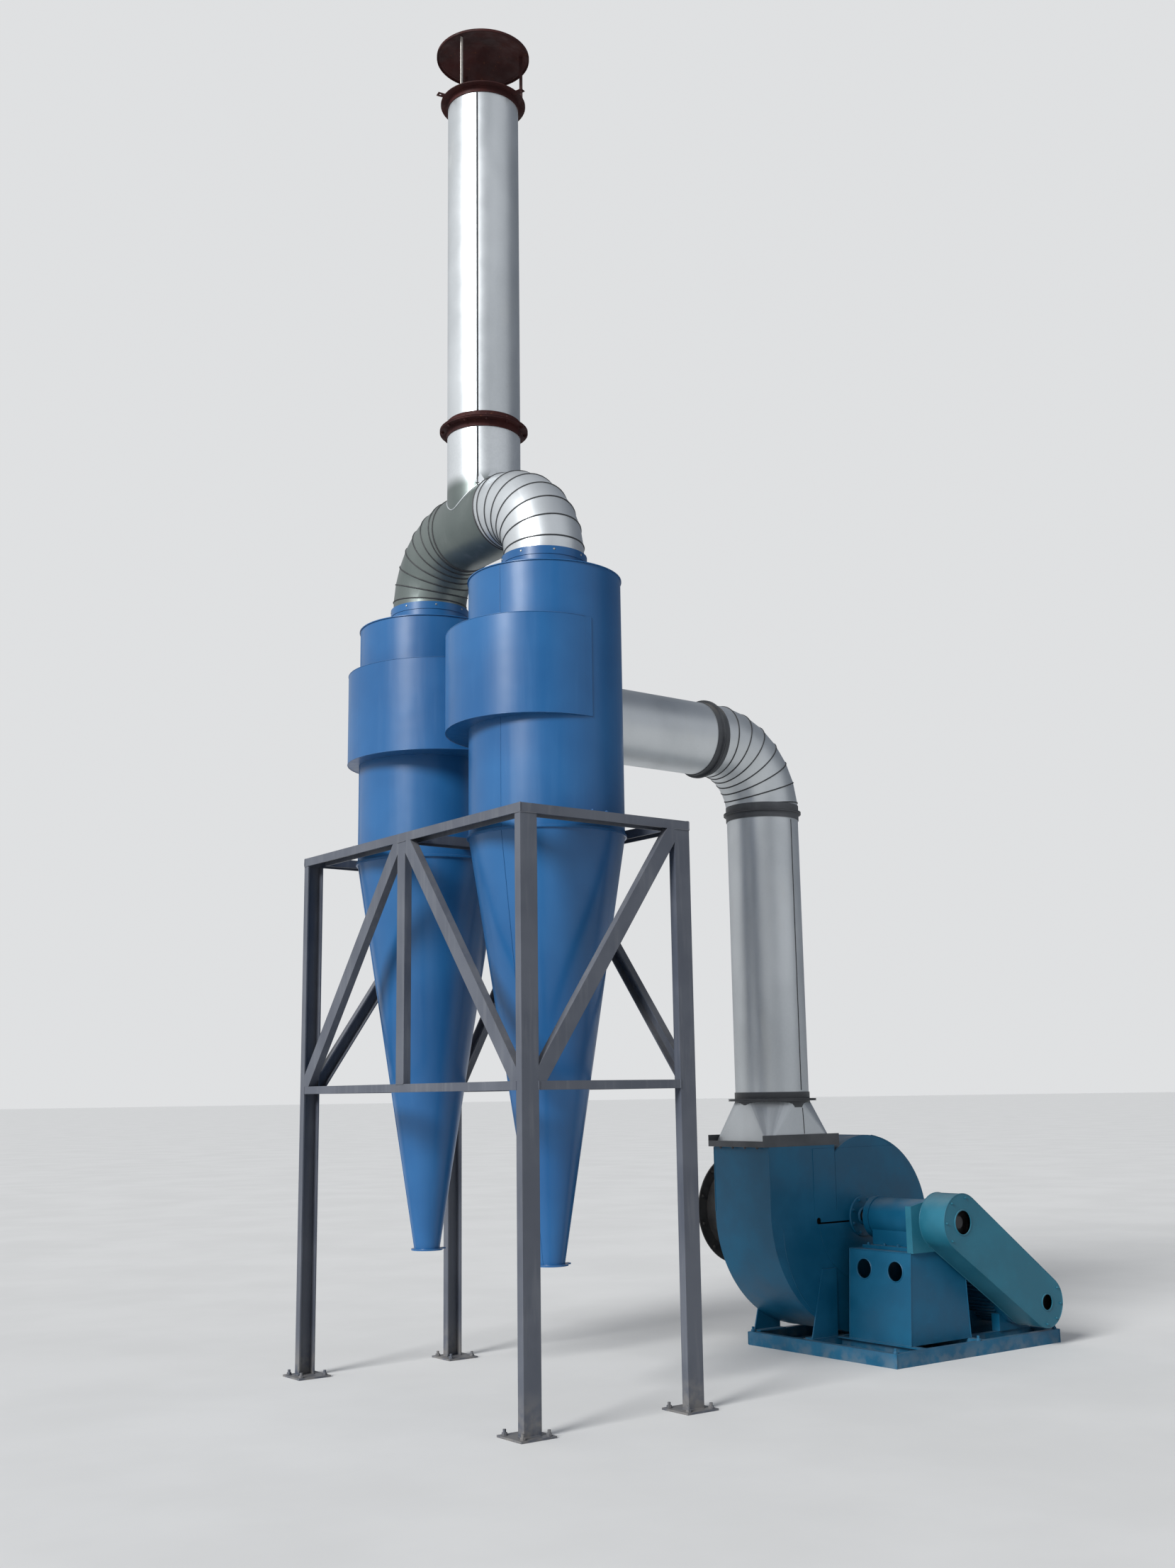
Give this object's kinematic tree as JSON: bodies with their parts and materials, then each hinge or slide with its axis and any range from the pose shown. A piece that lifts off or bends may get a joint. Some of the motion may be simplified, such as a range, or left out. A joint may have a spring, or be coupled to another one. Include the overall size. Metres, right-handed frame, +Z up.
{
  "type": "twin cyclone separator",
  "caption": "Twin cyclone dust separator on a steel stand, with an outlet stack, an inlet duct and a belt driven fan.",
  "frame": {"origin": "middle of the plant's outline, on the floor", "axes": "+Z up, +X from the cyclone stand to the fan, +Y from the front cyclone to the rear one"},
  "size_m": [4.2084, 2.38, 8.012],
  "materials": {
    "stand_paint": "satin",
    "cyclone_paint": "gloss",
    "galvanized": "satin",
    "primer": "matt",
    "flange_paint": "satin",
    "fan_paint": "satin",
    "guard_paint": "satin",
    "rubber": "matt",
    "rotor_steel": "matt"
  },
  "bodies": {
    "root": {"leg_front_left": "stand_paint", "leg_front_right": "stand_paint", "leg_rear_left": "stand_paint", "leg_rear_right": "stand_paint", "foot_plates": "stand_paint", "top_end_beams": "stand_paint", "top_side_beams": "stand_paint", "top_cross_beam": "stand_paint", "mid_end_beams": "stand_paint", "mid_side_beams": "stand_paint", "side_posts": "stand_paint", "side_braces": "stand_paint", "end_braces": "stand_paint", "front_barrel": "cyclone_paint", "front_roof": "cyclone_paint", "front_scroll": "cyclone_paint", "front_cone": "cyclone_paint", "front_outlet_tube": "cyclone_paint", "rear_barrel": "cyclone_paint", "rear_roof": "cyclone_paint", "rear_scroll": "cyclone_paint", "rear_cone": "cyclone_paint", "rear_outlet_tube": "cyclone_paint", "support_lugs": "cyclone_paint", "dust_flanges": "cyclone_paint", "front_elbow": "galvanized", "rear_elbow": "galvanized", "header": "galvanized", "stack_joint_flanges": "primer", "stack_pipe": "galvanized", "stack_top_flange": "primer", "cap_struts": "primer", "rain_cap": "primer", "inlet_box": "galvanized", "inlet_transition": "galvanized", "main_duct": "galvanized", "duct_elbow": "galvanized", "riser": "galvanized", "outlet_transition": "galvanized", "duct_flanges": "flange_paint", "fan_wrapper": "fan_paint", "fan_side_front": "fan_paint", "fan_side_rear": "fan_paint", "fan_outlet_flange": "flange_paint", "inlet_sleeve": "rubber", "fan_feet": "fan_paint", "fan_base": "fan_paint", "pedestal": "fan_paint", "bearing_housing": "fan_paint", "fan_rotor": "rotor_steel", "belt_drive": "rubber", "belt_guard": "guard_paint", "motor": "fan_paint"}
  },
  "joints": []
}
